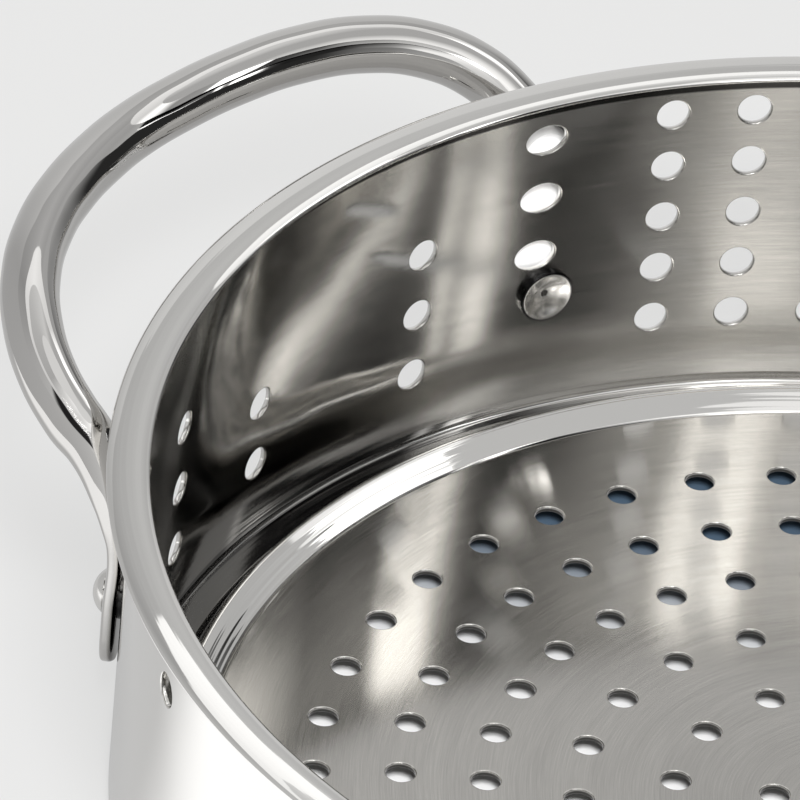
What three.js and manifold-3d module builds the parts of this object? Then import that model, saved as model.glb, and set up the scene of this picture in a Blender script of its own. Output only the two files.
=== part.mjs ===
// Perforated stainless fry basket of a deep fry pot, with two riveted tube handles.
// Millimetres, +Z up. Origin at the centre of the foot ring, on the surface the basket stands on.
// The handles lie on the X axis.

import * as THREE from "three";
import { mergeGeometries, mergeVertices } from "three/addons/utils/BufferGeometryUtils.js";
import Module from "manifold-3d";

// Pressed shell
const wallInnerRadius = 120;
const sheet = 1;
const wallDepth = 58.6;          // rim bead centre down to the top of the floor panel
const rimBeadHalfWidth = 3.4;    // flattened roll of the rim
const rimBeadHalfHeight = 1;
const rimBeadShift = 1.1;        // bead centre outside the middle of the wall sheet
const coveRadius = 2;            // inside radius between wall and foot ring
const footRingWidth = 3;         // flat ring that the basket stands on
const shoulderWidth = 4.2;       // slope from the foot ring up to the crest round the floor panel
const crestWidth = 4.5;          // slope from the crest down to the floor panel
const crestRise = 2.3;           // crest above the floor panel
const crestPower = 1.4;          // roundness of the crest
const panelRise = 3.5;           // floor panel above the foot ring
const seatGap = 0.3;             // clearance between pieces that touch

// Wall perforation
const wallHoleDiameter = 5.6;
const topRowBelowRim = 6.8;      // first row below the bead centre
const bottomRowAboveFloor = 11;  // last row above the floor panel
const sideRowCount = 5;
const sideColumnFirst = 37.05;   // degrees from the handle axis
const sideColumnCount = 17;      // columns between the two handles, far side
const nearColumnCount = 5;       // columns in the middle of the near side
const nearEndAngle = 55.6;       // single hole at each end of the near side, degrees from the handle axis
const nearEndBelowRim = 12.4;
const footColumnAngle = 26.3;    // columns of oblong holes above the rivets
const footHoleWidth = 7.4;
const footRowBelowRim = 7.7;
const footRowPitch = 11.5;
const footRowCount = 3;
const innerColumnAngle = 15.5;   // columns between the two feet of a handle
const innerRowPitch = 12;
const innerRowCount = 3;
const centreColumnAngle = 2.4;   // short column near the handle axis
const centreRowCount = 2;

// Floor perforation: rings of holes about a centre hole
const floorHoleDiameter = 4.8;
const floorRings = [
  { radius: 16, count: 7, turn: 0 },
  { radius: 31.8, count: 14, turn: 1.8 },
  { radius: 46.9, count: 21, turn: 12.3 },
  { radius: 61.6, count: 31, turn: 5.6 },
  { radius: 75.1, count: 36, turn: 4.4 },
  { radius: 88.7, count: 40, turn: 8.2 },
];

// Handles
const tubeRadius = 4.75;
const footAngle = 27.5;          // degrees from the handle axis to each foot
const tabHalfWidth = 7;          // flattened tube end
const tabThickness = 2.5;
const tabStandOff = 1;           // tab face to wall
const tabBelowRivet = 13;
const tabAboveRivet = 13;
const flattenLength = 20;        // run from the flat tab to the round tube
const legSpread = 2;             // legs stand this much further out to the side than the feet
const kneeRise = 10;             // height above the tab at which the leg turns outward
const kneeReach = 1.4;           // outward shift of the leg half way up to the knee
const barBeyondRim = 27.4;       // bar centre line outside the rim
const barAboveBead = 0.4;        // bar centre line above the bead centre
const legShare = 0.2;            // part of the reach taken by the straight leg
const loopPower = 1.18;          // roundness of the loop, 1 is an ellipse
const reachBow = 0.14;           // how the reach is drawn in toward the bar
const riseBow = 1.74;            // how the rise is drawn in toward the legs
const bossRadius = 4.2;          // raised seat of the tab around the rivet

// Rivets
const rivetBelowRim = 38.9;      // below the bead centre
const rivetRadius = 2.5;
const rivetClearance = 0.3;
const domeRadius = 3.6;
const domeHeight = 1.9;
const innerHeadRadius = 4.55;
const innerHeadHeight = 1.1;
const dimpleRadius = 3.5;
const dimpleDepth = 0.8;

// Facets
const shellSegments = 54;
const holeSides = 8;
const tubeSides = 12;
const tubeStep = 4.6;
const rivetSides = 14;

const wasm = await Module();
wasm.setup();

const degrees = Math.PI / 180;
const wallOuterRadius = wallInnerRadius + sheet;
const beadCentreRadius = wallInnerRadius + sheet / 2 + rimBeadShift;
const rimOuterRadius = beadCentreRadius + rimBeadHalfWidth;
const coveCentreRadius = wallInnerRadius - coveRadius;
const footInnerRadius = coveCentreRadius - footRingWidth;
const panelTop = sheet + panelRise;
const beadHeight = panelTop + wallDepth;
const seamHeight = sheet + coveRadius;
const rivetHeight = beadHeight - rivetBelowRim;
const tabInner = wallOuterRadius + tabStandOff;
const tabOuter = tabInner + tabThickness;

function solid(geometry) {
  const plain = geometry.clone();
  plain.deleteAttribute("normal");
  plain.deleteAttribute("uv");
  const merged = mergeVertices(plain, 1e-4);
  return new wasm.Manifold(new wasm.Mesh({
    numProp: 3,
    vertProperties: new Float32Array(merged.attributes.position.array),
    triVerts: new Uint32Array(merged.index.array),
  }));
}

function geometryOf(body) {
  const mesh = body.getMesh();
  const geometry = new THREE.BufferGeometry();
  geometry.setAttribute("position", new THREE.BufferAttribute(new Float32Array(mesh.vertProperties), 3));
  geometry.setIndex(new THREE.BufferAttribute(new Uint32Array(mesh.triVerts), 1));
  geometry.computeVertexNormals();
  return geometry;
}

// A profile of (radius, height) points turned about the Z axis, with a facet edge on the X axis.
function turned(points, segments) {
  const geometry = new THREE.LatheGeometry(points, segments);
  geometry.rotateX(Math.PI / 2);
  geometry.rotateZ(Math.PI / segments);
  return geometry;
}

function arc(radius, height, size, from, to, steps) {
  const points = [];
  for (let i = 0; i <= steps; i += 1) {
    const angle = (from + (to - from) * i / steps) * degrees;
    points.push(new THREE.Vector2(radius + size * Math.cos(angle), height + size * Math.sin(angle)));
  }
  return points;
}

// A cutter through the wall, along the radius at one azimuth.
function wallCutter(azimuth, height, diameter, width, sides) {
  const geometry = new THREE.CylinderGeometry(diameter / 2, diameter / 2, sheet * 8, sides);
  geometry.rotateY(Math.PI / sides);
  geometry.rotateZ(-Math.PI / 2);
  geometry.scale(1, width / diameter, 1);
  geometry.translate(wallInnerRadius + sheet / 2, 0, height);
  geometry.rotateZ(azimuth * degrees);
  return geometry;
}

// Azimuth, height and width of every drain hole of the wall.
function wallHoles() {
  const holes = [];
  const topRow = beadHeight - topRowBelowRim;
  const bottomRow = panelTop + bottomRowAboveFloor;
  const sideRowPitch = (topRow - bottomRow) / (sideRowCount - 1);
  const columnStep = (180 - 2 * sideColumnFirst) / (sideColumnCount - 1);
  for (const [middle, columns] of [[90, sideColumnCount], [270, nearColumnCount]]) {
    for (let column = 0; column < columns; column += 1) {
      for (let row = 0; row < sideRowCount; row += 1) {
        holes.push([middle + (column - (columns - 1) / 2) * columnStep, topRow - row * sideRowPitch, wallHoleDiameter]);
      }
    }
  }
  for (const azimuth of [180 + nearEndAngle, 360 - nearEndAngle]) {
    holes.push([azimuth, beadHeight - nearEndBelowRim, wallHoleDiameter]);
  }
  for (const side of [0, 180]) {
    for (const sign of [-1, 1]) {
      for (let row = 0; row < footRowCount; row += 1) {
        const height = beadHeight - footRowBelowRim - row * footRowPitch;
        holes.push([side + sign * footColumnAngle, height, footHoleWidth]);
      }
      for (let row = 0; row < innerRowCount; row += 1) {
        holes.push([side + sign * innerColumnAngle, bottomRow + row * innerRowPitch, wallHoleDiameter]);
      }
    }
    for (let row = 0; row < centreRowCount; row += 1) {
      holes.push([side + centreColumnAngle, bottomRow + row * innerRowPitch, wallHoleDiameter]);
    }
  }
  return holes;
}

const footAzimuths = [0, 180].flatMap((side) => [side - footAngle, side + footAngle]);

// Wall with its rolled rim bead, down to the start of the cove.
function makeWall() {
  const bottom = seamHeight + seatGap / 2;
  const from = -Math.acos((wallOuterRadius - beadCentreRadius) / rimBeadHalfWidth) / degrees;
  const to = 360 - Math.acos((wallInnerRadius - beadCentreRadius) / rimBeadHalfWidth) / degrees;
  const bead = arc(0, 0, 1, from, to, 15).map((point) => new THREE.Vector2(
    beadCentreRadius + rimBeadHalfWidth * point.x,
    beadHeight + rimBeadHalfHeight * point.y,
  ));
  const profile = [
    new THREE.Vector2(wallInnerRadius, bottom),
    new THREE.Vector2(wallOuterRadius, bottom),
    ...bead,
    new THREE.Vector2(wallInnerRadius, bottom),
  ];
  const cutters = wallHoles().map(([azimuth, height, width]) => (
    wallCutter(azimuth, height, wallHoleDiameter, width, holeSides)));
  for (const azimuth of footAzimuths) {
    const bore = 2 * (rivetRadius + rivetClearance);
    cutters.push(wallCutter(azimuth, rivetHeight, bore, bore, rivetSides));
  }
  const wall = solid(turned(profile, shellSegments));
  return geometryOf(wall.subtract(solid(mergeGeometries(cutters))));
}

// Cove, foot ring and raised floor panel with a crest round its rings of drain holes.
function makeFloor() {
  const top = seamHeight - seatGap / 2;
  const crestRadius = footInnerRadius - shoulderWidth;
  const underside = [new THREE.Vector2(footInnerRadius, 0)];
  for (const share of [0.25, 0.5, 0.75, 1]) {
    const rise = (panelRise + crestRise) * (3 * share ** 2 - 2 * share ** 3);
    underside.push(new THREE.Vector2(footInnerRadius - shoulderWidth * share, rise));
  }
  for (const share of [0.5, 1]) {
    const rise = panelRise + crestRise * (1 - share ** crestPower);
    underside.push(new THREE.Vector2(crestRadius - crestWidth * share, rise));
  }
  const upperSide = underside.map((point) => new THREE.Vector2(point.x, point.y + sheet));
  const profile = [
    new THREE.Vector2(0, panelRise),
    ...underside.slice().reverse(),
    ...arc(coveCentreRadius, seamHeight, coveRadius + sheet, -90, 0, 5).slice(0, -1),
    new THREE.Vector2(wallOuterRadius, top),
    new THREE.Vector2(wallInnerRadius, top),
    ...arc(coveCentreRadius, seamHeight, coveRadius, 0, -90, 5).slice(1),
    ...upperSide,
    new THREE.Vector2(0, panelTop),
  ];
  const places = [[0, 0]];
  for (const ring of floorRings) {
    for (let i = 0; i < ring.count; i += 1) {
      const angle = (ring.turn + i * 360 / ring.count) * degrees;
      places.push([ring.radius * Math.cos(angle), ring.radius * Math.sin(angle)]);
    }
  }
  const cutters = places.map(([x, y]) => {
    const radius = floorHoleDiameter / 2;
    const geometry = new THREE.CylinderGeometry(radius, radius, sheet * 4, holeSides);
    geometry.rotateX(Math.PI / 2);
    geometry.translate(x, y, panelTop - sheet / 2);
    return geometry;
  });
  const floor = solid(turned(profile, shellSegments));
  return geometryOf(floor.subtract(solid(mergeGeometries(cutters))));
}

// Centre line of the handle on +X: up one tab, round the loop and down the other tab.
function handleLine() {
  const tabRadius = (tabInner + tabOuter) / 2;
  const footSide = tabRadius * Math.sin(footAngle * degrees);
  const footOut = tabRadius * Math.cos(footAngle * degrees);
  const tabBottom = rivetHeight - tabBelowRivet;
  const tabTop = rivetHeight + tabAboveRivet;
  const kneeHeight = tabTop + kneeRise;
  const span = footSide + legSpread;
  const barOut = rimOuterRadius + barBeyondRim;
  const barHeight = beadHeight + barAboveBead;
  const loopPoint = (side, share) => new THREE.Vector3(
    footOut + (barOut - footOut) * share * (1 + reachBow - reachBow * share),
    side,
    kneeHeight + (barHeight - kneeHeight) * share * (1 + riseBow - riseBow * share),
  );
  const shift = kneeReach / tabRadius;
  const leg = [
    new THREE.Vector3(footOut, footSide, tabBottom),
    new THREE.Vector3(footOut, footSide, rivetHeight),
    new THREE.Vector3(footOut, footSide, tabTop),
    new THREE.Vector3(footOut * (1 + shift), footSide * (1 + shift) + legSpread / 4, tabTop + kneeRise * 0.65),
    loopPoint(span, legShare / 2),
  ];
  const loop = [];
  const count = 14;
  for (let i = 0; i <= count; i += 1) {
    const angle = Math.PI * i / count;
    const across = Math.cos(angle);
    const side = span * Math.sign(across) * Math.abs(across) ** loopPower;
    loop.push(loopPoint(side, legShare + (1 - legShare) * Math.abs(Math.sin(angle)) ** loopPower));
  }
  const back = leg.map((point) => new THREE.Vector3(point.x, -point.y, point.z)).reverse();
  return new THREE.CatmullRomCurve3([...leg, ...loop, ...back], false, "centripetal");
}

// A bent tube whose two ends are pressed flat into round-ended tabs.
function makeHandle() {
  const line = handleLine();
  line.arcLengthDivisions = 600;
  const length = line.getLength();
  const tabLength = tabBelowRivet + tabAboveRivet;
  const half = [];
  for (let i = 0; i < 5; i += 1) half.push(tabHalfWidth * (1 - Math.cos(i * 22.5 * degrees)));
  const steps = Math.ceil((length / 2 - tabLength) / tubeStep);
  half.push((tabHalfWidth + tabLength) / 2);
  for (let i = 0; i <= steps; i += 1) half.push(tabLength + (length / 2 - tabLength) * i / steps);
  const stations = [...half, ...half.slice(0, -1).reverse().map((distance) => length - distance)];

  const rings = stations.map((distance) => {
    const at = distance / length;
    const centre = line.getPointAt(at);
    const along = line.getTangentAt(at);
    const outward = new THREE.Vector3(centre.x, centre.y, 0).normalize();
    outward.addScaledVector(along, -outward.dot(along)).normalize();
    const across = new THREE.Vector3().crossVectors(outward, along);
    const fromEnd = Math.min(distance, length - distance);
    const round = THREE.MathUtils.smoothstep(fromEnd, tabLength, tabLength + flattenLength);
    const end = Math.min(1, 0.12 + fromEnd / tabHalfWidth);
    const endWidth = tabHalfWidth * Math.sqrt(1 - (1 - end) ** 2);
    return {
      centre, outward, across,
      width: THREE.MathUtils.lerp(endWidth, tubeRadius, round),
      depth: THREE.MathUtils.lerp(tabThickness / 2, tubeRadius, round),
      power: THREE.MathUtils.lerp(0.5, 1, round),
    };
  });

  const geometry = new THREE.CylinderGeometry(1, 1, 1, tubeSides, rings.length - 1);
  const place = geometry.attributes.position;
  for (let i = 0; i < place.count; i += 1) {
    const ring = rings[Math.round((0.5 - place.getY(i)) * (rings.length - 1))];
    const shaped = (value) => (Math.abs(value) < 1e-6 ? 0 : Math.sign(value) * Math.abs(value) ** ring.power);
    const point = ring.centre.clone();
    point.addScaledVector(ring.across, ring.width * shaped(place.getX(i)));
    point.addScaledVector(ring.outward, ring.depth * shaped(place.getZ(i)));
    place.setXYZ(i, point.x, point.y, point.z);
  }

  let body = solid(geometry);
  for (const azimuth of [-footAngle, footAngle]) {
    const bossInner = wallOuterRadius + seatGap;
    const bossLength = tabInner + tabThickness / 2 - bossInner;
    const boss = new THREE.CylinderGeometry(bossRadius, bossRadius, bossLength, rivetSides);
    const hole = new THREE.CylinderGeometry(
      rivetRadius + rivetClearance, rivetRadius + rivetClearance, tabThickness * 6, rivetSides);
    for (const [tool, radius] of [[boss, bossInner + bossLength / 2], [hole, tabInner]]) {
      tool.rotateZ(-Math.PI / 2);
      tool.translate(radius, 0, rivetHeight);
      tool.rotateZ(azimuth * degrees);
    }
    body = body.add(solid(boss)).subtract(solid(hole));
  }
  return geometryOf(body);
}

// Rivet along +X: domed head outside the tab, dished head inside the basket.
function makeRivet() {
  const innerSeat = wallInnerRadius * Math.cos(Math.PI / shellSegments) - seatGap;
  const outerSeat = tabOuter + seatGap;
  const domeSize = (domeRadius ** 2 + domeHeight ** 2) / (2 * domeHeight);
  const domeAngle = Math.asin(Math.min(1, domeRadius / domeSize)) / degrees;
  const dome = arc(0, outerSeat + domeHeight - domeSize, domeSize, 90 - domeAngle, 90, 4);
  const edge = innerHeadHeight * 0.35;
  const profile = [
    new THREE.Vector2(0, innerSeat - innerHeadHeight + dimpleDepth),
    new THREE.Vector2(dimpleRadius, innerSeat - innerHeadHeight),
    new THREE.Vector2(innerHeadRadius - edge, innerSeat - innerHeadHeight),
    new THREE.Vector2(innerHeadRadius, innerSeat - innerHeadHeight + edge),
    new THREE.Vector2(innerHeadRadius, innerSeat),
    new THREE.Vector2(rivetRadius, innerSeat),
    new THREE.Vector2(rivetRadius, outerSeat),
    ...dome.slice(0, -1),
    new THREE.Vector2(0, outerSeat + domeHeight),
  ];
  const geometry = new THREE.LatheGeometry(profile, rivetSides);
  geometry.rotateZ(-Math.PI / 2);
  return geometryOf(solid(geometry));
}

const shellSteel = new THREE.MeshStandardMaterial({ color: 0xa9a69f, roughness: 0.32, metalness: 1 });
const floorSteel = new THREE.MeshStandardMaterial({ color: 0xa39f95, roughness: 0.38, metalness: 1 });
const polishedSteel = new THREE.MeshStandardMaterial({ color: 0xcfcdc9, roughness: 0.12, metalness: 1 });
const rivetSteel = new THREE.MeshStandardMaterial({ color: 0xc4c2be, roughness: 0.18, metalness: 1 });

function node(name, geometry, material) {
  const mesh = new THREE.Mesh(geometry, material);
  mesh.name = name;
  return mesh;
}

const basket = new THREE.Group();
basket.add(node("basket_wall", makeWall(), shellSteel));
basket.add(node("basket_floor", makeFloor(), floorSteel));

const handleShape = makeHandle();
const rivetShape = makeRivet();
for (const [side, turn] of [["right", 0], ["left", 180]]) {
  const group = new THREE.Group();
  group.rotation.z = turn * degrees;
  group.add(node(`handle_${side}`, handleShape, polishedSteel));
  for (const [foot, sign] of [["front", -1], ["rear", 1]]) {
    const label = turn === 0 ? foot : { front: "rear", rear: "front" }[foot];
    const rivet = node(`rivet_${side}_${label}`, rivetShape, rivetSteel);
    rivet.position.z = rivetHeight;
    rivet.rotation.z = sign * footAngle * degrees;
    group.add(rivet);
  }
  basket.add(group);
}

export default basket;
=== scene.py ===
import math

import bpy
from mathutils import Matrix, Vector


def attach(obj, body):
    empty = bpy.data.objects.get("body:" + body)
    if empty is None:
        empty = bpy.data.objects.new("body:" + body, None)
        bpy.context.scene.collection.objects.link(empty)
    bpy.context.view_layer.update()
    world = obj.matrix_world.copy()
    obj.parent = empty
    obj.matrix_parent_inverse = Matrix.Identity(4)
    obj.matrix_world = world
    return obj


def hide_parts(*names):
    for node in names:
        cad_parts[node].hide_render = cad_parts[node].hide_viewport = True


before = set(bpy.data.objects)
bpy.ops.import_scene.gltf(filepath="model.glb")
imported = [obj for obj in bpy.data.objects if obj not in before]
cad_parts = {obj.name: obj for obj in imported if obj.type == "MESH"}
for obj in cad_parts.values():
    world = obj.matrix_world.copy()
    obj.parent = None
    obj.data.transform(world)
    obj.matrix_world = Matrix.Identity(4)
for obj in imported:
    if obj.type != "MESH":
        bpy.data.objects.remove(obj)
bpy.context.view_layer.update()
print("frame loaded:", ", ".join(sorted(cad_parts)))

mm = 0.001

# pressed shell, sizes in mm
shell = {
    "wallInner": 120.0, "sheet": 1.0, "beadHeight": 63.1, "beadHalfWidth": 3.4, "beadHalfHeight": 1.0,
    "beadCentre": 121.6, "coveRadius": 2.0, "creaseRadius": 0.7, "footWidth": 3.0, "shoulderWidth": 4.2,
    "crestWidth": 4.5, "crestRise": 2.3, "crestPower": 1.12, "panelRise": 3.5, "holeEdge": 0.22,
    "holeSides": 28, "punchReach": 1.4, "turnSteps": 288, "smoothAngle": 38.0, "skinReach": 0.002,
}
seamHeight = shell["sheet"] + shell["coveRadius"]
wallOuter = shell["wallInner"] + shell["sheet"]
panelTop = shell["sheet"] + shell["panelRise"]


def clearSelection():
    if bpy.context.object and bpy.context.object.mode != "OBJECT":
        bpy.ops.object.mode_set(mode="OBJECT")
    bpy.ops.object.select_all(action="DESELECT")


def pick(piece):
    clearSelection()
    piece.select_set(True)
    bpy.context.view_layer.objects.active = piece


def arcPoints(centre, height, size, start, end, steps):
    return [(centre + size * math.cos(math.radians(start + (end - start) * i / steps)),
             height + size * math.sin(math.radians(start + (end - start) * i / steps)))
            for i in range(steps + 1)]


# a closed outline of (radius, height) in mm, turned once round the Z axis
def spinOutline(name, outline, steps, openAxis=False):
    clearSelection()
    bpy.ops.mesh.primitive_circle_add(vertices=len(outline), radius=1, fill_type="NOTHING")
    piece = bpy.context.object
    piece.name = piece.data.name = name
    piece.data.transform(piece.matrix_world)
    piece.matrix_world = Matrix.Identity(4)
    for vertex, (radius, height) in zip(piece.data.vertices, outline):
        vertex.co = (radius * mm, 0, height * mm)
    bpy.ops.object.mode_set(mode="EDIT")
    if openAxis:
        bpy.ops.mesh.select_all(action="DESELECT")
        bpy.ops.object.mode_set(mode="OBJECT")
        for edge in piece.data.edges:
            edge.select = all(piece.data.vertices[i].co.x < 1e-9 for i in edge.vertices)
        bpy.ops.object.mode_set(mode="EDIT")
        bpy.ops.mesh.select_mode(type="EDGE")
        bpy.ops.mesh.delete(type="EDGE")
        bpy.ops.mesh.select_mode(type="VERT")
    bpy.ops.mesh.select_all(action="SELECT")
    bpy.ops.mesh.spin(steps=steps, angle=2 * math.pi, center=(0, 0, 0), axis=(0, 0, 1))
    bpy.ops.mesh.select_all(action="SELECT")
    bpy.ops.mesh.remove_doubles(threshold=1e-6)
    bpy.ops.mesh.normals_make_consistent(inside=False)
    bpy.ops.object.mode_set(mode="OBJECT")
    return piece


# a punch with rounded shoulders, standing along Z, that leaves a soft edge on both faces of the sheet
def makePunch(name, radius):
    half = shell["sheet"] / 2
    edge = shell["holeEdge"]
    steps = [(radius + edge, -half - shell["punchReach"]), (radius + edge, -half)]
    for turn in (30, 60, 90):
        angle = math.radians(turn)
        steps.append((radius + edge - edge * math.sin(angle), -half + edge - edge * math.cos(angle)))
    steps += [(size, -height) for size, height in reversed(steps)]
    clearSelection()
    bpy.ops.mesh.primitive_circle_add(
        vertices=shell["holeSides"], radius=steps[0][0] * mm, fill_type="NGON",
        location=(0, 0, steps[0][1] * mm))
    punch = bpy.context.object
    punch.name = name
    bpy.ops.object.transform_apply(location=True, rotation=True, scale=True)
    bpy.ops.object.mode_set(mode="EDIT")
    bpy.ops.mesh.select_all(action="SELECT")
    for (size, height), (lastSize, lastHeight) in zip(steps[1:], steps):
        bpy.ops.mesh.extrude_region_move(
            TRANSFORM_OT_translate={"value": (0, 0, (height - lastHeight) * mm)})
        if size != lastSize:
            bpy.ops.transform.resize(value=(size / lastSize, size / lastSize, 1))
    bpy.ops.mesh.select_all(action="SELECT")
    bpy.ops.mesh.normals_make_consistent(inside=False)
    bpy.ops.object.mode_set(mode="OBJECT")
    return punch


def punchAll(piece, punch, places):
    copies = []
    for place in places:
        copy = punch.copy()
        copy.data = punch.data.copy()
        copy.data.transform(place)
        bpy.context.collection.objects.link(copy)
        copies.append(copy)
    clearSelection()
    for copy in copies:
        copy.select_set(True)
    bpy.context.view_layer.objects.active = copies[0]
    bpy.ops.object.join()
    cutter = bpy.context.object
    pick(piece)
    cut = piece.modifiers.new("drainHoles", "BOOLEAN")
    cut.operation = "DIFFERENCE"
    cut.solver = "MANIFOLD"
    cut.object = cutter
    bpy.ops.object.modifier_apply(modifier=cut.name)
    bpy.data.objects.remove(cutter)
    bpy.data.objects.remove(punch)


def inMicrometres(place):
    return tuple(round(c * 1e6) for c in place)


# the sheet keeps the smooth normals that it had before it was punched
def keepSmooth(piece, guide):
    skin = piece.vertex_groups.new(name="skin")
    corners = guide.data.vertices
    sharp = {inMicrometres(corners[i].co)
             for edge in guide.data.edges if edge.use_edge_sharp for i in edge.vertices}
    onSkin = []
    for vertex in piece.data.vertices:
        found, spot, _, _ = guide.closest_point_on_mesh(vertex.co)
        touches = found and (spot - vertex.co).length < shell["skinReach"] * mm
        if touches and inMicrometres(vertex.co) not in sharp:
            onSkin.append(vertex.index)
    skin.add(onSkin, 1.0, "REPLACE")
    pick(piece)
    bpy.ops.object.shade_smooth_by_angle(angle=math.radians(shell["smoothAngle"]))
    copy = piece.modifiers.new("smoothSkin", "DATA_TRANSFER")
    copy.object = guide
    copy.use_loop_data = True
    copy.data_types_loops = {"CUSTOM_NORMAL"}
    copy.loop_mapping = "POLYINTERP_NEAREST"
    copy.vertex_group = skin.name
    bpy.ops.object.modifier_apply(modifier=copy.name)
    piece.vertex_groups.remove(piece.vertex_groups["skin"])
    bpy.data.objects.remove(guide)


def guideOf(piece):
    guide = piece.copy()
    guide.data = piece.data.copy()
    bpy.context.collection.objects.link(guide)
    pick(guide)
    bpy.ops.object.shade_smooth_by_angle(angle=math.radians(shell["smoothAngle"]))
    return guide


# wall and rolled rim
wall = {
    "holeDiameter": 5.6, "topRow": 6.8, "bottomRow": 11.0, "rows": 5, "farFirst": 37.05, "farColumns": 17,
    "nearColumns": 5, "nearEnd": 55.6, "nearEndBelowRim": 12.4,
    "footColumn": 26.3, "footWidth": 7.4, "footTop": 7.7, "footRows": 3, "footPitch": 11.5,
    "innerColumn": 15.5, "innerRows": 3, "innerPitch": 12.0, "centreColumn": 2.4, "centreRows": 2,
    "beadSteps": 56, "bands": 6, "edgeBand": 1.0, "rimBand": 0.5,
}


def wallPlaces():
    spots = []
    top = shell["beadHeight"] - wall["topRow"]
    bottom = panelTop + wall["bottomRow"]
    pitch = (top - bottom) / (wall["rows"] - 1)
    step = (180 - 2 * wall["farFirst"]) / (wall["farColumns"] - 1)
    for middle, columns in ((90, wall["farColumns"]), (270, wall["nearColumns"])):
        for column in range(columns):
            for row in range(wall["rows"]):
                spots.append((middle + (column - (columns - 1) / 2) * step, top - row * pitch, 1))
    for azimuth in (180 + wall["nearEnd"], 360 - wall["nearEnd"]):
        spots.append((azimuth, shell["beadHeight"] - wall["nearEndBelowRim"], 1))
    stretch = wall["footWidth"] / wall["holeDiameter"]
    for side in (0, 180):
        for sign in (-1, 1):
            for row in range(wall["footRows"]):
                height = shell["beadHeight"] - wall["footTop"] - row * wall["footPitch"]
                spots.append((side + sign * wall["footColumn"], height, stretch))
            for row in range(wall["innerRows"]):
                spots.append((side + sign * wall["innerColumn"], bottom + row * wall["innerPitch"], 1))
        for row in range(wall["centreRows"]):
            spots.append((side + wall["centreColumn"], bottom + row * wall["innerPitch"], 1))
    return spots


def radialPlace(azimuth, radius, height):
    turn = Matrix.Rotation(math.radians(azimuth), 4, "Z")
    lean = Matrix.Rotation(math.radians(90), 4, "Y")
    return turn @ Matrix.Translation((radius * mm, 0, height * mm)) @ lean


def wallOutline():
    start = -math.degrees(math.acos((wallOuter - shell["beadCentre"]) / shell["beadHalfWidth"]))
    end = 360 - math.degrees(math.acos((shell["wallInner"] - shell["beadCentre"]) / shell["beadHalfWidth"]))
    bead = [(shell["beadCentre"] + shell["beadHalfWidth"] * x,
             shell["beadHeight"] + shell["beadHalfHeight"] * y)
            for x, y in arcPoints(0, 0, 1, start, end, wall["beadSteps"])]
    low, high = seamHeight + wall["edgeBand"], bead[0][1] - wall["rimBand"]
    levels = [low + (high - low) * i / wall["bands"] for i in range(wall["bands"] + 1)]
    outline = [(wallOuter, seamHeight)] + [(wallOuter, level) for level in levels] + bead
    inside = levels[:-1] + [bead[-1][1] - wall["rimBand"]]
    outline += [(shell["wallInner"], level) for level in reversed(inside)]
    outline.append((shell["wallInner"], seamHeight))
    return outline


def makeWall():
    piece = spinOutline("basketWall", wallOutline(), shell["turnSteps"])
    guide = guideOf(piece)
    punch = makePunch("wallPunch", wall["holeDiameter"] / 2)
    middle = shell["wallInner"] + shell["sheet"] / 2
    punchAll(piece, punch, [radialPlace(azimuth, middle, height) @ Matrix.Diagonal((1, stretch, 1, 1))
                            for azimuth, height, stretch in wallPlaces()])
    keepSmooth(piece, guide)
    return piece


# floor with cove, foot ring, crest and raised panel
floor = {
    "holeDiameter": 4.8,
    # hole rings: radius, count, turn in degrees
    "rings": [(16.0, 7, 0.0), (31.8, 14, 1.8), (46.9, 21, 12.3),
              (61.6, 31, 5.6), (75.1, 36, 4.4), (88.7, 40, 8.2)],
    "bands": [9.0, 24.0, 39.4, 54.2, 68.4, 81.9, 95.0], "edgeBand": 0.6,
    "groove": ((0.2, -0.12), (0, 0.15), (-0.25, 0)),
    "shoulderSteps": 16, "crestSteps": 12, "coveSteps": 12, "creaseSteps": 8, "cornerBand": 0.3,
}


# shoulder and crest, as (radius, rise) from the foot ring to the panel
def floorSlope(footInner):
    crestRadius = footInner - shell["shoulderWidth"]
    slope = []
    for i in range(floor["shoulderSteps"] + 1):
        share = i / floor["shoulderSteps"]
        rise = (shell["panelRise"] + shell["crestRise"]) * (3 * share ** 2 - 2 * share ** 3)
        slope.append((footInner - shell["shoulderWidth"] * share, rise))
    for i in range(1, floor["crestSteps"] + 1):
        share = i / floor["crestSteps"]
        rise = shell["panelRise"] + shell["crestRise"] * (1 - share ** shell["crestPower"])
        slope.append((crestRadius - shell["crestWidth"] * share, rise))
    return slope


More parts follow.
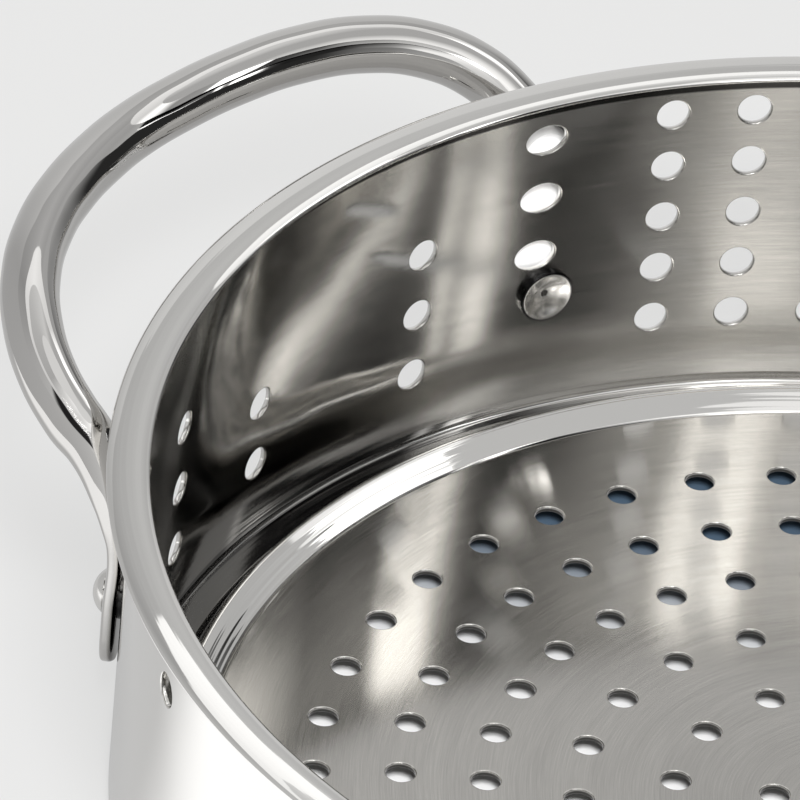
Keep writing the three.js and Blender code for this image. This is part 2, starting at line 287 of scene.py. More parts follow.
def floorOutline():
    sheet, edge, crease = shell["sheet"], shell["holeEdge"], shell["creaseRadius"]
    hole = floor["holeDiameter"] / 2
    coveCentre = shell["wallInner"] - shell["coveRadius"]
    footInner = coveCentre - shell["footWidth"]
    slope = floorSlope(footInner)
    panelEdge = slope[-1][0]
    mouth = [(hole + edge - edge * math.sin(math.radians(turn)), edge - edge * math.cos(math.radians(turn)))
             for turn in (0, 30, 60, 90)]
    flat = [hole + edge + floor["edgeBand"], *floor["bands"], panelEdge - floor["edgeBand"]]
    outline = [(radius, shell["panelRise"] + depth) for radius, depth in reversed(mouth)]
    outline += [(radius, shell["panelRise"]) for radius in flat] + list(reversed(slope))
    outline += arcPoints(coveCentre, seamHeight, shell["coveRadius"] + sheet, -90, 0, floor["coveSteps"])
    outline += [(shell["wallInner"], seamHeight), (shell["wallInner"], sheet + crease + floor["cornerBand"])]
    outline += arcPoints(
        shell["wallInner"] - crease, sheet + crease, crease, 0, -90, floor["creaseSteps"])
    outline.append((footInner + floor["cornerBand"], sheet))
    outline += [(radius, height + sheet) for radius, height in slope[:-1]]
    outline += [(panelEdge + lift, panelTop - depth) for lift, depth in floor["groove"]]
    outline += [(radius, panelTop) for radius in reversed(flat)]
    outline += [(radius, panelTop - depth) for radius, depth in mouth]
    return outline


def floorPlaces():
    places = []
    height = panelTop - shell["sheet"] / 2
    for radius, count, turn in floor["rings"]:
        for i in range(count):
            angle = math.radians(turn + i * 360 / count)
            places.append(Matrix.Translation(
                (radius * mm * math.cos(angle), radius * mm * math.sin(angle), height * mm)))
    return places


def makeFloor():
    piece = spinOutline("basketFloor", floorOutline(), shell["turnSteps"])
    guide = guideOf(piece)
    punch = makePunch("floorPunch", floor["holeDiameter"] / 2)
    punchAll(piece, punch, floorPlaces())
    keepSmooth(piece, guide)
    return piece


basketWall = makeWall()
print("wall punched:", len(basketWall.data.polygons), "faces")
basketFloor = makeFloor()
print("floor punched:", len(basketFloor.data.polygons), "faces")

# bent tube handles with pressed ends
handle = {
    "tubeRadius": 4.75, "footAngle": 27.5, "tabHalfWidth": 7.0, "tabThickness": 2.5, "standOff": 1.0,
    "belowRivet": 11.5, "aboveRivet": 13.0, "flattenLength": 20.0, "legSpread": 2.0, "kneeRise": 10.0,
    "kneeReach": 1.4, "kneeShare": 0.65, "barBeyondRim": 27.4, "barAboveBead": 0.4, "legShare": 0.2,
    "loopPower": 1.18, "loopSteps": 14, "reachBow": 0.14, "riseBow": 1.74, "knotSteps": 14, "sides": 40,
    "tabPower": 0.5, "tabEnd": 0.1,
    "bossRadius": 4.2, "bossSides": 40, "bossEdge": 0.3, "bossEdgeSteps": 3,
    "roundAngle": 50.0,
}
rivet = {
    "belowRim": 38.9, "shankRadius": 2.5, "domeRadius": 3.6, "domeHeight": 1.9, "domeSteps": 12,
    "headRadius": 4.8, "headHeight": 1.4, "headEdge": 0.3, "dishRadius": 4.15, "dishDepth": 1.35,
    "dishPower": 1.8, "dishShares": (0, 0.1, 0.25, 0.4, 0.55, 0.7, 0.85, 0.97), "dishLip": (0.1, 0.01),
    "headEdgeSteps": 5, "seatGap": 0.3, "wallSink": 0.1, "turnSteps": 56,
}
rivetHeight = shell["beadHeight"] - rivet["belowRim"]
tabInner = wallOuter + handle["standOff"]
tabOuter = tabInner + handle["tabThickness"]


def handleKnots():
    tabRadius = (tabInner + tabOuter) / 2
    side = tabRadius * math.sin(math.radians(handle["footAngle"]))
    out = tabRadius * math.cos(math.radians(handle["footAngle"]))
    tabTop = rivetHeight + handle["aboveRivet"]
    knee = tabTop + handle["kneeRise"]
    span = side + handle["legSpread"]
    barOut = shell["beadCentre"] + shell["beadHalfWidth"] + handle["barBeyondRim"]
    barHeight = shell["beadHeight"] + handle["barAboveBead"]

    def loopPoint(across, share):
        return Vector((
            out + (barOut - out) * share * (1 + handle["reachBow"] * (1 - share)),
            across,
            knee + (barHeight - knee) * share * (1 + handle["riseBow"] * (1 - share))))

    shift = handle["kneeReach"] / tabRadius
    leg = [Vector((out, side, rivetHeight - handle["belowRivet"])),
           Vector((out, side, rivetHeight)),
           Vector((out, side, tabTop)),
           Vector((out * (1 + shift), side * (1 + shift) + handle["legSpread"] / 4,
                   tabTop + handle["kneeShare"] * handle["kneeRise"])),
           loopPoint(span, handle["legShare"] / 2)]
    loop = []
    for i in range(handle["loopSteps"] + 1):
        angle = math.pi * i / handle["loopSteps"]
        across = math.copysign(abs(math.cos(angle)) ** handle["loopPower"], math.cos(angle)) * span
        share = handle["legShare"] + (1 - handle["legShare"]) * abs(math.sin(angle)) ** handle["loopPower"]
        loop.append(loopPoint(across, share))
    back = [Vector((point.x, -point.y, point.z)) for point in reversed(leg)]
    return leg + loop + back


def bendTube(name):
    knots = handleKnots()
    clearSelection()
    bpy.ops.curve.primitive_bezier_curve_add(location=(0, 0, 0))
    tube = bpy.context.object
    tube.name = name
    spline = tube.data.splines[0]
    spline.bezier_points.add(len(knots) - len(spline.bezier_points))
    for knot, place in zip(spline.bezier_points, knots):
        knot.co = place * mm
        knot.handle_left_type = knot.handle_right_type = "AUTO"
    tube.data.resolution_u = handle["knotSteps"]
    tube.data.bevel_depth = handle["tubeRadius"] * mm
    tube.data.bevel_resolution = handle["sides"] // 2 - 2
    bpy.ops.object.convert(target="MESH")
    return bpy.context.object


# the tube is pressed flat at both ends, ring by ring
def pressEnds(tube):
    ringSize = handle["sides"]
    vertices = tube.data.vertices
    rings = [list(range(i, i + ringSize)) for i in range(0, len(vertices), ringSize)]
    centres = [sum((vertices[i].co for i in ring), Vector()) / ringSize for ring in rings]
    lengths = [0.0]
    for a, b in zip(centres, centres[1:]):
        lengths.append(lengths[-1] + (b - a).length / mm)
    tabLength = handle["belowRivet"] + handle["aboveRivet"]
    for k, ring in enumerate(rings):
        fromEnd = min(lengths[k], lengths[-1] - lengths[k])
        t = min(1.0, max(0.0, (fromEnd - tabLength) / handle["flattenLength"]))
        roundness = t * t * (3 - 2 * t)
        if roundness >= 1:
            continue
        along = (centres[min(k + 1, len(rings) - 1)] - centres[max(k - 1, 0)]).normalized()
        outward = Vector((centres[k].x, centres[k].y, 0)).normalized()
        outward = (outward - along * outward.dot(along)).normalized()
        across = outward.cross(along)
        end = min(1.0, handle["tabEnd"] + fromEnd / handle["tabHalfWidth"])
        endWidth = handle["tabHalfWidth"] * math.sqrt(1 - (1 - end) ** 2)
        width = endWidth + (handle["tubeRadius"] - endWidth) * roundness
        depth = handle["tabThickness"] / 2 + (handle["tubeRadius"] - handle["tabThickness"] / 2) * roundness
        power = handle["tabPower"] + (1 - handle["tabPower"]) * roundness
        for i in ring:
            offset = vertices[i].co - centres[k]
            angle = math.atan2(offset.dot(outward), offset.dot(across))
            c, s = math.cos(angle), math.sin(angle)
            vertices[i].co = (centres[k] + across * mm * width * math.copysign(abs(c) ** power, c)
                              + outward * mm * depth * math.copysign(abs(s) ** power, s))
    bpy.ops.object.mode_set(mode="EDIT")
    bpy.ops.mesh.select_all(action="SELECT")
    bpy.ops.mesh.fill_holes(sides=0)
    bpy.ops.mesh.select_all(action="SELECT")
    bpy.ops.mesh.normals_make_consistent(inside=False)
    bpy.ops.object.mode_set(mode="OBJECT")


# a round boss on the tab, seated against the wall at the rivet
def addBoss(tube, azimuth):
    seat = wallOuter + rivet["seatGap"]
    length = tabInner + handle["tabThickness"] / 2 - seat
    clearSelection()
    bpy.ops.mesh.primitive_cylinder_add(
        vertices=handle["bossSides"], radius=handle["bossRadius"] * mm, depth=length * mm)
    boss = bpy.context.object
    softEdge = boss.modifiers.new("softEdge", "BEVEL")
    softEdge.width = handle["bossEdge"] * mm
    softEdge.segments = handle["bossEdgeSteps"]
    bpy.ops.object.modifier_apply(modifier=softEdge.name)
    boss.data.transform(radialPlace(azimuth, seat + length / 2, rivetHeight))
    pick(tube)
    join = tube.modifiers.new("boss", "BOOLEAN")
    join.operation = "UNION"
    join.solver = "MANIFOLD"
    join.object = boss
    bpy.ops.object.modifier_apply(modifier=join.name)
    bpy.data.objects.remove(boss)


def makeHandle(name):
    tube = bendTube(name)
    pressEnds(tube)
    for sign in (-1, 1):
        addBoss(tube, sign * handle["footAngle"])
    pick(tube)
    bpy.ops.object.shade_smooth_by_angle(angle=math.radians(handle["roundAngle"]))
    return tube


def copyTurned(piece, name, turn):
    twin = piece.copy()
    twin.data = piece.data.copy()
    twin.name = twin.data.name = name
    twin.data.transform(Matrix.Rotation(math.radians(turn), 4, "Z"))
    bpy.context.collection.objects.link(twin)
    return twin


handleRight = makeHandle("handleRight")
handleLeft = copyTurned(handleRight, "handleLeft", 180)
print("handles bent:", len(handleRight.data.polygons), "faces each")


def makeRivet(name):
    innerSeat = shell["wallInner"] + rivet["wallSink"]
    outerSeat = tabOuter + rivet["seatGap"]
    domeSize = (rivet["domeRadius"] ** 2 + rivet["domeHeight"] ** 2) / (2 * rivet["domeHeight"])
    half = math.degrees(math.asin(min(1, rivet["domeRadius"] / domeSize)))
    domeMiddle = outerSeat + rivet["domeHeight"] - domeSize
    dome = arcPoints(0, domeMiddle, domeSize, 90 - half, 90, rivet["domeSteps"])
    dome[-1] = (0, dome[-1][1])
    face = innerSeat - rivet["headHeight"]
    soft = rivet["headEdge"]
    rim = arcPoints(rivet["headRadius"] - soft, face + soft, soft, 0, -90, rivet["headEdgeSteps"])
    outline = [(rivet["dishRadius"] * share, face + rivet["dishDepth"] * (1 - share ** rivet["dishPower"]))
               for share in rivet["dishShares"]]
    lipOut, lipRise = rivet["dishLip"]
    outline.append((rivet["dishRadius"] + lipOut, face - lipRise))
    outline += list(reversed(rim)) + [(rivet["headRadius"], innerSeat), (rivet["shankRadius"], innerSeat)]
    outline += [(rivet["shankRadius"], outerSeat)] + dome
    piece = spinOutline(name, outline, rivet["turnSteps"], openAxis=True)
    bpy.ops.object.shade_smooth_by_angle(angle=math.radians(handle["roundAngle"]))
    lean = Matrix.Rotation(math.radians(90), 4, "Y")
    piece.data.transform(Matrix.Translation((0, 0, rivetHeight * mm)) @ lean)
    return piece


firstRivet = makeRivet("rivetPattern")
rivetPieces = {}
for name, azimuth in (
        ("rivetRightRear", handle["footAngle"]), ("rivetRightFront", -handle["footAngle"]),
        ("rivetLeftFront", 180 + handle["footAngle"]), ("rivetLeftRear", 180 - handle["footAngle"])):
    rivetPieces[name] = copyTurned(firstRivet, name, azimuth)
bpy.data.objects.remove(firstRivet)
print("rivets set:", ", ".join(rivetPieces))


# one wire of a node tree; sums and products of wires add Math nodes
class Wire:
    def __init__(self, tree, socket):
        self.tree = tree
        self.socket = socket

    def maths(self, operation, first, second):
        node = self.tree.nodes.new("ShaderNodeMath")
        node.operation = operation
        for place, value in zip(node.inputs, (first, second)):
            if isinstance(value, Wire):
                self.tree.links.new(value.socket, place)
            else:
                place.default_value = value
        return Wire(self.tree, node.outputs[0])

    def __add__(self, other):
        return self.maths("ADD", self, other)

    def __radd__(self, other):
        return self.maths("ADD", other, self)

    def __sub__(self, other):
        return self.maths("SUBTRACT", self, other)

    def __rsub__(self, other):
        return self.maths("SUBTRACT", other, self)

    def __mul__(self, other):
        return self.maths("MULTIPLY", self, other)

    def __truediv__(self, other):
        return self.maths("DIVIDE", self, other)

    def __pow__(self, other):
        return self.maths("POWER", self, other)


class Bench:
    def __init__(self, tree):
        self.tree = tree
        tree.nodes.clear()

    def add(self, kind, settings=None, inputs=None, output=0):
        node = self.tree.nodes.new("ShaderNode" + kind)
        for key, value in (settings or {}).items():
            if key == "stops":
                ramp = node.color_ramp
                while len(ramp.elements) < len(value):
                    ramp.elements.new(0.5)
                for element, (place, colour) in zip(ramp.elements, value):
                    element.position = place
                    element.color = colour
            else:
                setattr(node, key, value)
        for key, value in (inputs or {}).items():
            if isinstance(value, Wire):
                self.tree.links.new(value.socket, node.inputs[key])
            else:
                node.inputs[key].default_value = value
        return Wire(self.tree, node.outputs[output]) if node.outputs else None


def newMaterial(name):
    material = bpy.data.materials.new(name)
    material.use_nodes = True
    return material, Bench(material.node_tree)


def finishSteel(bench, colour, roughness, height, grain, metallic=1.0):
    bump = bench.add("Bump", None, {"Strength": 1.0, "Distance": mm, "Height": height})
    steel = bench.add("BsdfPrincipled", None, {
        "Base Color": colour, "Metallic": metallic, "Roughness": roughness, "Normal": bump,
        "Anisotropic": grain, "Anisotropic Rotation": 0.25 if grain else 0.0})
    bench.add("OutputMaterial", None, {"Surface": steel})


def smoothBand(bench, value, low, high):
    return bench.add("MapRange", {"interpolation_type": "SMOOTHSTEP"}, {
        "Value": value, "From Min": low, "From Max": high, "To Min": 0.0, "To Max": 1.0})


def objectPlace(bench):
    place = bench.add("TexCoord", None, None, "Object")
    split = bench.add("SeparateXYZ", None, {"Vector": place})
    return place, *(Wire(bench.tree, split.socket.node.outputs[i]) for i in range(3))


def mixColour(bench, share, first, second):
    return bench.add("MixRGB", {"blend_type": "MIX"}, {"Fac": share, "Color1": first, "Color2": second})


def stretchedNoise(bench, wires, scales, detail, roughness=0.5):
    vector = bench.add("CombineXYZ", None, {
        axis: wire * scale for axis, wire, scale in zip("XYZ", wires, scales)})
    return bench.add("TexNoise", None, {
        "Vector": vector, "Scale": 1.0, "Detail": detail, "Roughness": roughness})


def grey(level):
    return level, level, level, 1


# satin sheet, brushed round the Z axis
shellLooks = {
    "wall": {"colour": (0.61, 0.598, 0.572, 1), "roughness": 0.125, "grain": 0.97,
             "dentScale": (34.0, 34.0, 26.0), "dentHeight": 0.3, "ringHeight": 0.035},
    "floor": {"colour": (0.62, 0.605, 0.575, 1), "roughness": 0.13, "grain": 0.85,
              "dentScale": (18.0, 18.0, 14.0), "dentHeight": 0.13, "ringHeight": 0.09},
    "fineScale": (120.0, 120.0, 5200.0), "fineRough": 0.06, "fineShade": 0.36, "fineHeight": 0.0018,
    "slowScale": (30.0, 30.0, 420.0), "slowRough": 0.04, "slowShade": 0.2, "slowHeight": 0.005,
    "ringScale": (9.0, 9.0, 1300.0),
    # where one finish or painted shade passes into the next, in metres
    "lip": (0.0612, 0.0620), "outside": (0.1204, 0.1206), "paintedShadowUnderLip": (0.0603, 0.0607),
    "lipStart": (0.0618, 0.0621), "lowWall": (0.006, 0.017), "crest": (0.1060, 0.1066),
    "channel": (0.1113, 0.1122), "holeTop": (0.0040, 0.0043), "panelEdge": (0.1050, 0.1060),
    # share of the radius toward the handles
    "flank": (0.93, 0.985), "flankFloor": (0.90, 0.97),
    # lipShade, holeShade, channelShade and channelFlankShade set how dark the painted shade goes
    "flankRough": -0.095, "lowRough": 0.12, "lowFlankCut": 0.7, "lipShade": 0.9, "holeShade": 0.85,
    "channelShade": 0.1, "channelFlankShade": 0.6, "channelRingCut": 0.85,
}
polishLooks = {
    "shell": (0.80, 0.79, 0.77, 1), "shellRough": 0.05,
    "handle": (0.62, 0.61, 0.595, 1), "handleRough": 0.035,
    "rivet": (0.80, 0.79, 0.77, 1), "rivetRough": 0.17, "noiseScale": 60.0, "vary": 0.04, "waves": 0.04,
    # dark is the painted shade of the tab and rivet-head crevices; back is painted light on the inner side
    # of the rear legs
    "dark": grey(0.02), "back": grey(1), "backRough": 0.3,
    # mm beyond the inner face of the tab, above the rivet, behind the X axis and beyond the dish
    "tabPaintedShadeBand": (0.3, 1.3), "legBack": (2.0, 4.0), "leg": (1.0, 6.0), "rear": (0.0, 10.0),
    "headPaintedShadeBand": (0.2, 0.4),
}


def bandFrom(start, band):
    return [(start + edge) * mm for edge in band]


# each finish gives the polished share, the satin roughness, the light that is left after its painted shade
# and the ridged share
def wallFinish(bench, z, radius, aside):
    lip = smoothBand(bench, z, *shellLooks["lip"])
    outside = smoothBand(bench, radius, *shellLooks["outside"])
    polish = bench.add("Math", {"operation": "MAXIMUM"}, {0: lip, 1: outside})
    flank = smoothBand(bench, aside, *shellLooks["flank"])
    low = (1.0 - smoothBand(bench, z, *shellLooks["lowWall"])) * (1.0 - flank * shellLooks["lowFlankCut"])
    rough = flank * shellLooks["flankRough"] + low * shellLooks["lowRough"] + shellLooks["wall"]["roughness"]
    # painted shadow: a thin dark band on the inner wall just under the rolled lip, where the lip's shade
    # falls
    paintedShadowUnderLip = smoothBand(bench, z, *shellLooks["paintedShadowUnderLip"])
    paintedShadowUnderLip = paintedShadowUnderLip * (1.0 - smoothBand(bench, z, *shellLooks["lipStart"])) * (1.0 - outside)
    return polish, rough, 1.0 - paintedShadowUnderLip * shellLooks["lipShade"], lip


def floorFinish(bench, z, radius, aside):
    polish = smoothBand(bench, radius, *shellLooks["crest"])
    channel = smoothBand(bench, radius, *shellLooks["channel"])
    flank = smoothBand(bench, aside, *shellLooks["flankFloor"])
    # painted shadow: the foot ring channel is darkened, more toward the handles
    shadow = channel * (flank * shellLooks["channelFlankShade"] + shellLooks["channelShade"])
    # painted shade: the lower part of the hole bores and the underside of the panel are darkened
    holeSides = 1.0 - smoothBand(bench, z, *shellLooks["holeTop"])
    holeSides = holeSides * (1.0 - smoothBand(bench, radius, *shellLooks["panelEdge"]))
    lit = (1.0 - shadow) * (1.0 - holeSides * shellLooks["holeShade"])
    ridged = polish * (1.0 - channel * shellLooks["channelRingCut"])
    return polish, shellLooks["floor"]["roughness"], lit, ridged


def shellSteel(name, part, finish):
    material, bench = newMaterial(name)
    looks = shellLooks[part]
    x, y, z = objectPlace(bench)[1:]
    radius = (x * x + y * y) ** 0.5
    across = z if part == "wall" else radius
    fine = stretchedNoise(bench, (x, y, across), shellLooks["fineScale"], 3.0, 0.6)
    slow = stretchedNoise(bench, (x, y, across), shellLooks["slowScale"], 2.0)
    dents = stretchedNoise(bench, (x, y, z), looks["dentScale"], 1.0)
    rings = stretchedNoise(bench, (x, y, radius), shellLooks["ringScale"], 1.0)
    aside = bench.add("Math", {"operation": "ABSOLUTE"}, {0: x}) / radius
    polish, base, lit, ridged = finish(bench, z, radius, aside)
    satin = 1.0 - polish
    rough = (fine - 0.5) * shellLooks["fineRough"] + (slow - 0.5) * shellLooks["slowRough"] + base
    roughness = satin * rough + polish * polishLooks["shellRough"]
    streaks = 1.0 + satin * ((fine - 0.5) * shellLooks["fineShade"] + (slow - 0.5) * shellLooks["slowShade"])
    tint = bench.add("CombineXYZ", None, {axis: streaks * lit for axis in "XYZ"})
    colour = mixColour(bench, polish, looks["colour"], polishLooks["shell"])
    brushed = bench.add("VectorMath", {"operation": "MULTIPLY"}, {0: colour, 1: tint})
    height = (fine * shellLooks["fineHeight"] + slow * shellLooks["slowHeight"]) * satin
    height = height + dents * looks["dentHeight"] + rings * ridged * looks["ringHeight"]
    finishSteel(bench, brushed, roughness, height, looks["grain"])
    return material


def handleSteel(name):
    material, bench = newMaterial(name)
    place, x, y, z = objectPlace(bench)
    soft = bench.add("TexNoise", None, {"Vector": place, "Scale": polishLooks["noiseScale"], "Detail": 2.0})
    radius = (x * x + y * y) ** 0.5
    leg = smoothBand(bench, z, *bandFrom(rivetHeight, polishLooks["leg"]))
    # painted shadow: the inner face of the tab and the boss, in the gap against the wall, turn nearly black
    # up to a little above the rivet
    paintedCreviceShade = 1.0 - smoothBand(bench, radius, *bandFrom(tabInner, polishLooks["tabPaintedShadeBand"]))
    # painted light: on the legs behind the X axis the inner side above the rivet turns white, rougher and
    # not metallic, to show as bright as a reflection
    back = 1.0 - smoothBand(bench, radius, *bandFrom(tabInner, polishLooks["legBack"]))
    back = back * leg * smoothBand(bench, y, *bandFrom(0, polishLooks["rear"]))
    colour = mixColour(bench, back, polishLooks["handle"], polishLooks["back"])
    colour = mixColour(bench, paintedCreviceShade * (1.0 - leg), colour, polishLooks["dark"])
    rough = (soft - 0.5) * polishLooks["vary"] + back * polishLooks["backRough"] + polishLooks["handleRough"]
    finishSteel(bench, colour, rough, soft * polishLooks["waves"], 0.0, 1.0 - back)
    return material


def rivetSteel(name):
    material, bench = newMaterial(name)
    place, x, y, z = objectPlace(bench)
    soft = bench.add("TexNoise", None, {"Vector": place, "Scale": polishLooks["noiseScale"], "Detail": 2.0})
    turn = math.radians(handle["footAngle"])
    sizeX, sizeY = (bench.add("Math", {"operation": "ABSOLUTE"}, {0: wire}) for wire in (x, y))
    aside = sizeY * math.cos(turn) - sizeX * math.sin(turn)
    rise = z - rivetHeight * mm
    fromAxis = (aside * aside + rise * rise) ** 0.5
    # painted shadow: a nearly black ring round the edge of the inner rivet head, beyond the dish
    paintedCreviceShade = smoothBand(bench, fromAxis, *bandFrom(rivet["dishRadius"], polishLooks["headPaintedShadeBand"]))
    colour = mixColour(bench, paintedCreviceShade, polishLooks["rivet"], polishLooks["dark"])
    rough = (soft - 0.5) * polishLooks["vary"] + polishLooks["rivetRough"]
    finishSteel(bench, colour, rough, soft * polishLooks["waves"], 0.0)
    return material


materials = {
    "wall": shellSteel("satinWallSteel", "wall", wallFinish),
    "floor": shellSteel("satinFloorSteel", "floor", floorFinish),
    "handle": handleSteel("polishedHandleSteel"),
    "rivet": rivetSteel("polishedRivetSteel"),
}

dressed = [
    (basketWall, "basket_wall", "wall_steel", "wall"),
    (basketFloor, "basket_floor", "floor_steel", "floor"),
    (handleLeft, "handle_left", "handle_steel", "handle"),
    (handleRight, "handle_right", "handle_steel", "handle"),
    (rivetPieces["rivetLeftFront"], "rivet_left_front", "rivet_steel", "rivet"),
    (rivetPieces["rivetLeftRear"], "rivet_left_rear", "rivet_steel", "rivet"),
    (rivetPieces["rivetRightFront"], "rivet_right_front", "rivet_steel", "rivet"),
    (rivetPieces["rivetRightRear"], "rivet_right_rear", "rivet_steel", "rivet"),
]
for piece, node, slot, look in dressed:
    piece.data.materials.clear()
    piece.data.materials.append(materials[look])
    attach(piece, "root")
    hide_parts(node)
print("steel applied to", len(dressed), "pieces")

# camera at the photograph's angle; the fit is in rim radii about the bead centre, turned to this frame
lens = {
    "rimRadius": 125.0, "rimPlane": 63.5, "turn": 33.153, "tilt": 35.896, "roll": 5.514,
    "place": (-0.6464, -9.9539, 7.2993), "focal": 10000.0, "frame": 800.0, "sensor": 36.0, "reach": 50.0,
}


def makeCamera():
    tilt, roll = math.radians(lens["tilt"]), math.radians(lens["roll"])
    forward = Vector((0, math.cos(tilt), -math.sin(tilt)))
    right = Vector((1, 0, 0))
    up = right.cross(forward)
    right, up = (right * math.cos(roll) + up * math.sin(roll), up * math.cos(roll) - right * math.sin(roll))
    turn = Matrix.Rotation(math.radians(lens["turn"]), 4, "Z")
    axes = Matrix((right, up, -forward)).transposed().to_4x4()
    place = Matrix.Translation(Vector(lens["place"]) * lens["rimRadius"] * mm)
    data = bpy.data.cameras.new("photoCamera")
    data.sensor_width = lens["sensor"]
    data.lens = lens["focal"] / lens["frame"] * lens["sensor"]
    data.clip_end = lens["reach"]
    camera = bpy.data.objects.new("photoCamera", data)
    camera.matrix_world = Matrix.Translation((0, 0, lens["rimPlane"] * mm)) @ turn @ place @ axes
    bpy.context.collection.objects.link(camera)
    bpy.context.scene.camera = camera


makeCamera()

# pale table; bands in metres
tableTop = {
    "size": 8.0, "pale": (0.745, 0.745, 0.74, 1), "glow": 0.85, "paper": grey(0.84),
    # shade is a painted shade colour, dark blue-grey, for the paper under the basket away from the camera
    "shade": (0.075, 0.115, 0.165, 1), "covered": (0.112, 0.124), "shadeEdge": (0.03, 0.075),
    # brightness in mirrors: far from the camera, near it and under the basket
    "mirrorFar": 0.5, "mirrorNear": 1.25, "mirrorUnder": 0.6, "mirrorEdge": (-0.114, -0.08),
}


def makeTable():
    clearSelection()
    bpy.ops.mesh.primitive_plane_add(size=tableTop["size"], location=(0, 0, 0))
    table = bpy.context.object
    table.name = "paleTable"
    material, bench = newMaterial("paleTable")
    ray = bench.add("LightPath", None, None, "Is Camera Ray")
    glossy = Wire(bench.tree, ray.socket.node.outputs["Is Glossy Ray"])
    through = Wire(bench.tree, ray.socket.node.outputs["Is Transmission Ray"])
    seen = bench.add("Math", {"operation": "MINIMUM"}, {0: ray + glossy + through, 1: 1.0})
    place, x, y, _ = objectPlace(bench)
    far = bench.add("VectorMath", {"operation": "LENGTH"}, {"Vector": place}, "Value")
    openTable = smoothBand(bench, far, *tableTop["covered"])
    covered = 1.0 - openTable
    near = 1.0 - smoothBand(bench, y, *tableTop["mirrorEdge"])
    mirrored = mixColour(bench, near, grey(tableTop["mirrorFar"]), grey(tableTop["mirrorNear"]))
    mirrored = mixColour(bench, openTable, grey(tableTop["mirrorUnder"]), mirrored)
    pale = mixColour(bench, glossy, tableTop["pale"], mirrored)
    # painted shade: under the basket, on its side away from the camera, the paper turns dark blue-grey
    view = math.radians(90 + lens["turn"])
    away = x * math.cos(view) + y * math.sin(view)
    under = smoothBand(bench, away, *tableTop["shadeEdge"]) * covered
    paperColour = mixColour(bench, under, tableTop["paper"], tableTop["shade"])
    paper = bench.add("BsdfPrincipled", None, {
        "Base Color": paperColour, "Roughness": 1.0, "Specular IOR Level": 0.0})
    glow = bench.add("Emission", None, {"Color": pale, "Strength": 1.0})
    share = seen * tableTop["glow"] * (openTable + covered * glossy)
    mixed = bench.add("MixShader", None, {0: share, 1: paper, 2: glow})
    bench.add("OutputMaterial", None, {"Surface": mixed})
    table.data.materials.append(material)


def makeWorld():
    world = bpy.data.worlds.new("studioRoom")
    bpy.context.scene.world = world
    world.use_nodes = True
    bench = Bench(world.node_tree)
    back = bench.add("Background", None, {"Color": (1, 1, 1, 1), "Strength": 1.0})
    bench.add("OutputWorld", None, {"Surface": back})


# light tent with brighter and darker panels, which the steel mirrors; metres
booth = {
    "radius": 0.3, "top": 0.46, "roofOpening": 0.13, "sides": 96, "brightest": 4.0,
    # panel brightness round the tent, in three belts and the roof: (degrees from +X, level)
    "skirtPanels": [(-180, 0.5), (-120, 0.6), (-60, 0.8), (-20, 0.4), (10, 0.03), (96, 0.03), (106, 0.3),
                    (120, 0.65), (150, 0.75), (180, 0.5)],
    "lowPanels": [(-180, 0.4), (-60, 0.9), (-40, 1.1), (-28, 1.4), (-21, 1.4), (-14, 0.75), (-7, 0.4),
                  (0, 0.12), (5, 0.03), (17, 0.02), (22, 0.05), (25, 0.2), (26.5, 4.0), (29.5, 4.0),
                  (31, 0.4), (33.5, 0.4), (34.5, 4.0), (36, 3.6), (37.5, 0.25), (44, 0.2), (48, 0.05),
                  (56, 0.05), (62, 0.12), (69, 0.5), (75, 1.4), (80, 1.5), (85, 0.6), (100, 0.5),
                  (116, 0.55), (120, 0.5), (136, 0.6), (180, 0.4)],
    "highPanels": [(-180, 1.1), (-60, 0.8), (-38, 0.95), (-31, 1.0), (-28, 4.0), (-16, 4.0), (-12, 0.9),
                   (2, 0.7), (12, 0.4), (20, 0.1), (31, 0.05), (33, 3.6), (43, 3.4), (46, 0.5), (62, 0.4),
                   (72, 1.2), (84, 2.2), (100, 1.0), (140, 1.3), (180, 1.1)],
    "roofPanels": [(-180, 0.7), (-110, 0.6), (-60, 1.2), (-20, 1.6), (10, 1.3), (50, 0.6), (100, 0.6),
                   (120, 0.9), (180, 0.7)],
    # belt heights, and how they lean across the tent
    "skirtTop": 0.197, "skirtLean": 0.086, "skirtSide": (0.0, 0.05), "softEdge": 0.002,
    "gapLow": 0.3125, "lowLean": 0.26, "lowSoft": 0.003, "gapHigh": 0.335, "highLean": 0.10,
    "gapSide": (0.02, 0.05), "gapShade": 0.99,
    "stripHeight": 0.2445, "stripLean": 0.155, "stripEdge": (0.0024, 0.0056), "stripLevel": 2.6,
    "stripBack": (0.19, 0.22), "stripSide": (0.02, 0.04),
    "doorNear": (-0.29, -0.275), "doorLow": (0.19, 0.21), "doorHigh": (0.345, 0.365), "doorShade": 0.97,
}


# brightness of the panels at one place on the tent, by its turn round the Z axis
def panelLight(bench, x, y, name):
    turn = bench.add("Math", {"operation": "ARCTAN2"}, {0: y, 1: x}) / (2 * math.pi) + 0.5
    stops = [((angle + 180) / 360, grey(level / booth["brightest"])) for angle, level in booth[name]]
    return bench.add("ValToRGB", {"stops": stops}, {"Fac": turn})


def softStep(bench, value, height, soft):
    return smoothBand(bench, value, height - soft, height + soft)


def finishLight(bench, piece, material, colour):
    lit = bench.add("Emission", None, {"Color": colour, "Strength": booth["brightest"]})
    bench.add("OutputMaterial", None, {"Surface": lit})
    piece.data.materials.append(material)
    piece.visible_camera = piece.visible_shadow = False


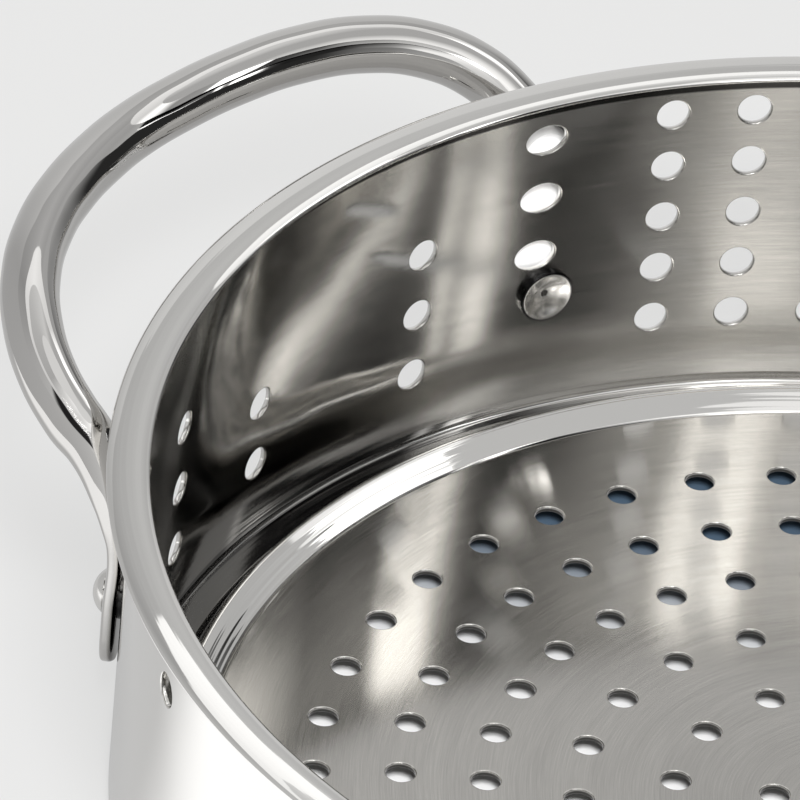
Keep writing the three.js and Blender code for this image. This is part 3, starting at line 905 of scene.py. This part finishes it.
def makeTent():
    clearSelection()
    bpy.ops.mesh.primitive_cylinder_add(
        vertices=booth["sides"], radius=booth["radius"], depth=booth["top"], end_fill_type="NOTHING",
        location=(0, 0, booth["top"] / 2))
    tent = bpy.context.object
    tent.name = "lightTent"
    bpy.ops.object.transform_apply(location=True, rotation=True, scale=True)
    material, bench = newMaterial("lightTent")
    x, y, z = objectPlace(bench)[1:]
    skirtEdge = z - y * smoothBand(bench, x, *booth["skirtSide"]) * booth["skirtLean"]
    aboveSkirt = softStep(bench, skirtEdge, booth["skirtTop"], booth["softEdge"])
    aboveLow = softStep(bench, z + y * booth["lowLean"], booth["gapLow"], booth["lowSoft"])
    high = softStep(bench, z + y * booth["highLean"], booth["gapHigh"], booth["softEdge"])
    lower = mixColour(
        bench, aboveSkirt, panelLight(bench, x, y, "skirtPanels"), panelLight(bench, x, y, "lowPanels"))
    belts = mixColour(bench, high, lower, panelLight(bench, x, y, "highPanels"))
    aboveStrip = z + x * booth["stripLean"] - booth["stripHeight"]
    offStrip = bench.add("Math", {"operation": "ABSOLUTE"}, {0: aboveStrip})
    strip = 1.0 - smoothBand(bench, offStrip, *booth["stripEdge"])
    strip = strip * smoothBand(bench, y, *booth["stripBack"]) * smoothBand(bench, x, *booth["stripSide"])
    strip = strip * (booth["stripLevel"] / booth["brightest"])
    stripe = bench.add("CombineXYZ", None, {axis: strip for axis in "XYZ"})
    lit = bench.add("VectorMath", {"operation": "ADD"}, {0: belts, 1: stripe})
    gap = aboveLow * (1.0 - high) * smoothBand(bench, x, *booth["gapSide"])
    door = 1.0 - smoothBand(bench, y, *booth["doorNear"])
    door = door * smoothBand(bench, z, *booth["doorLow"]) * (1.0 - smoothBand(bench, z, *booth["doorHigh"]))
    dark = bench.add("Math", {"operation": "MAXIMUM"}, {
        0: gap * booth["gapShade"], 1: door * booth["doorShade"]})
    finishLight(bench, tent, material, mixColour(bench, dark, lit, grey(0)))


def makeRoof():
    clearSelection()
    bpy.ops.mesh.primitive_circle_add(
        vertices=booth["sides"], radius=booth["radius"], fill_type="NOTHING", location=(0, 0, booth["top"]))
    roof = bpy.context.object
    roof.name = "lightRoof"
    bpy.ops.object.transform_apply(location=True, rotation=True, scale=True)
    bpy.ops.object.mode_set(mode="EDIT")
    bpy.ops.mesh.select_all(action="SELECT")
    bpy.ops.mesh.extrude_edges_move()
    share = booth["roofOpening"] / booth["radius"]
    bpy.ops.transform.resize(value=(share, share, 1))
    bpy.ops.object.mode_set(mode="OBJECT")
    material, bench = newMaterial("lightRoof")
    x, y, _ = objectPlace(bench)[1:]
    finishLight(bench, roof, material, panelLight(bench, x, y, "roofPanels"))
    roof.visible_diffuse = False


lamp = {"name": "topLamp", "azimuth": -57, "elevation": 52, "distance": 1.2, "size": 0.3, "power": 18}


def addLamp():
    data = bpy.data.lights.new(lamp["name"], "AREA")
    data.size = lamp["size"]
    data.energy = lamp["power"]
    light = bpy.data.objects.new(lamp["name"], data)
    turn, lift = math.radians(lamp["azimuth"]), math.radians(lamp["elevation"])
    toward = Vector((math.cos(turn) * math.cos(lift), math.sin(turn) * math.cos(lift), math.sin(lift)))
    light.location = toward * lamp["distance"]
    light.rotation_euler = light.location.to_track_quat("Z", "Y").to_euler()
    bpy.context.collection.objects.link(light)


makeTable()
makeWorld()
makeTent()
makeRoof()
addLamp()
print("table, tent and lamp set")
bpy.context.scene.view_settings.view_transform = "Standard"
